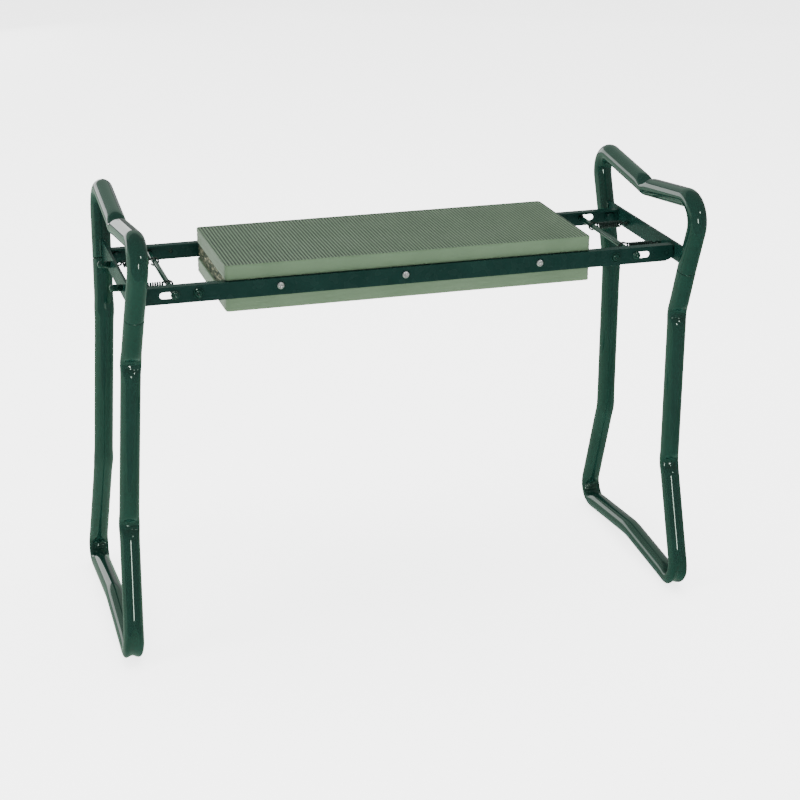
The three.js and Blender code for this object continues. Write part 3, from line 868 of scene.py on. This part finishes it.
for end_name, end_side in ENDS.items():
    handle_tube(end_name)
    leg_tube(end_name)
    weld_beads(end_name)
    weld_spatter(end_name)
    lock_rod(end_name, end_side)
    finish_cad_piece(f"{end_name}_cross_plate", "green_steel", 0.5)
    for side, front_sign in SIDES.items():
        rail_rivet(side, front_sign, end_name, end_side)
        hinge_pin(side, front_sign, end_name, end_side)
        spring_stud(end_name, side, front_sign * end_side * SPRING_Y)
        spring(end_name, side, end_side, front_sign * SPRING_Y)
weld_dashes()

for side, front_sign in SIDES.items():
    finish_cad_piece(f"{side}_rail", "green_steel", 0.5)
    for screw_name, screw_x in zip(("left", "middle", "right"), BOARD_SCREW_X):
        board_screw(side, front_sign, screw_name, screw_x)

foam_pad("top_pad", True)
foam_pad("bottom_pad", False)
finish_cad_piece("seat_board", "chipboard", 0.6)


# ---------------------------------------------------------------- floor, light and camera

def pale_floor():
    mesh = bpy.data.meshes.new("floor")
    reach = (-FLOOR_HALF_WIDTH, FLOOR_HALF_WIDTH)
    mesh.from_pydata([(x, y, 0) for y in reach for x in reach], [], [(0, 1, 3, 2)])
    mesh.materials.append(floor_paint())
    floor = bpy.data.objects.new("floor", mesh)
    bpy.context.scene.collection.objects.link(floor)
    floor.visible_glossy = False


def reflected_paper():
    """The sheet of white paper that a studio has under and behind the seat, seen only in the gloss.

    It glows less towards the front and towards the right, so the tubes keep dark middles.
    """
    across = [-2.5, 0.0, 0.5, 2.5]
    back = [-0.58, -0.30, 0.0, 3.4]
    glow = [
        (0.85, 0.42, 0.30, 0.30),
        (0.90, 0.35, 0.20, 0.20),
        (0.70, 0.60, 0.35, 0.25),
        (0.60, 0.65, 0.40, 0.25),
    ]
    mesh = bpy.data.meshes.new("paper")
    mesh.from_pydata([(x, y, 0) for y in back for x in across], [], grid_faces(4, 4, closed=False))
    brightness = mesh.attributes.new("glow", "FLOAT", "POINT")
    brightness.data.foreach_set("value", [value for row in glow for value in row])
    material, nodes, links, shader = new_material("paper", (0, 0, 0), 1.0)
    shader.inputs["Emission Color"].default_value = (*PAINT_GLOSS, 1)
    strength = nodes.new("ShaderNodeAttribute")
    strength.attribute_name = "glow"
    links.new(strength.outputs["Fac"], shader.inputs["Emission Strength"])
    material.cycles.emission_sampling = "NONE"
    mesh.materials.append(material)
    paper = bpy.data.objects.new("paper", mesh)
    paper.location.z = -0.001
    paper.visible_camera = False
    paper.visible_diffuse = False
    paper.visible_shadow = False
    bpy.context.scene.collection.objects.link(paper)


def soft_light(name, place, target, width, height, watts, in_gloss=True, color=(1, 1, 1)):
    light = bpy.data.lights.new(name, "AREA")
    light.shape = "RECTANGLE"
    light.size = width
    light.size_y = height
    light.color = color
    light.energy = watts
    lamp = bpy.data.objects.new(name, light)
    lamp.location = place
    lamp.rotation_euler = (Vector(target) - Vector(place)).to_track_quat("-Z", "Y").to_euler()
    lamp.visible_camera = False
    lamp.visible_glossy = in_gloss
    bpy.context.scene.collection.objects.link(lamp)


def pale_world(strength):
    world = bpy.data.worlds.new("studio")
    world.use_nodes = True
    background = world.node_tree.nodes["Background"]
    background.inputs["Color"].default_value = (1, 1, 1, 1)
    background.inputs["Strength"].default_value = strength
    bpy.context.scene.world = world


def photo_camera():
    camera = bpy.data.cameras.new("camera")
    camera.sensor_width = 36
    camera.lens = CAMERA_LENS
    camera.clip_end = 100
    holder = bpy.data.objects.new("camera", camera)
    holder.location = CAMERA_PLACE
    holder.rotation_euler = (math.radians(CAMERA_TILT), 0, math.radians(CAMERA_TURN))
    bpy.context.scene.collection.objects.link(holder)
    bpy.context.scene.camera = holder


pale_floor()
reflected_paper()
pale_world(0.24)
soft_light("top_softbox", (0.2, 0.3, 2.9), (0, 0, 0.3), 3.2, 3.2, 190, in_gloss=False)
soft_light("left_softbox", (-2.6, -0.9, 1.4), (0, 0, 0.3), 1.4, 1.8, 80, in_gloss=False)
soft_light("front_strip", (-0.2, -2.7, 0.78), (0, 0, 0.2), 0.22, 0.7, 15)
soft_light("spark", (1.3, -2.3, 2.1), (0, 0, 0.3), 0.3, 0.3, 10)
soft_light("back_left_card", (-1.6, 3.6, 0.7), (-0.3, 0, 0.5), 3.6, 1.2, 30)
soft_light("back_right_card", (2.2, 3.6, 0.7), (0.3, 0, 0.5), 3.6, 1.2, 4)
soft_light("back_upper_card", (0, 3.8, 2.6), (0, 0, 0.5), 7.0, 2.2, 16, color=PAINT_GLOSS)
soft_light("top_card", (0.2, 0.3, 2.9), (0, 0, 0.3), 2.0, 2.0, 9, color=PAINT_GLOSS)
soft_light("left_card", (-3.0, 1.0, 0.5), (0, 0, 0.4), 2.6, 1.5, 9, color=PAINT_GLOSS)
photo_camera()
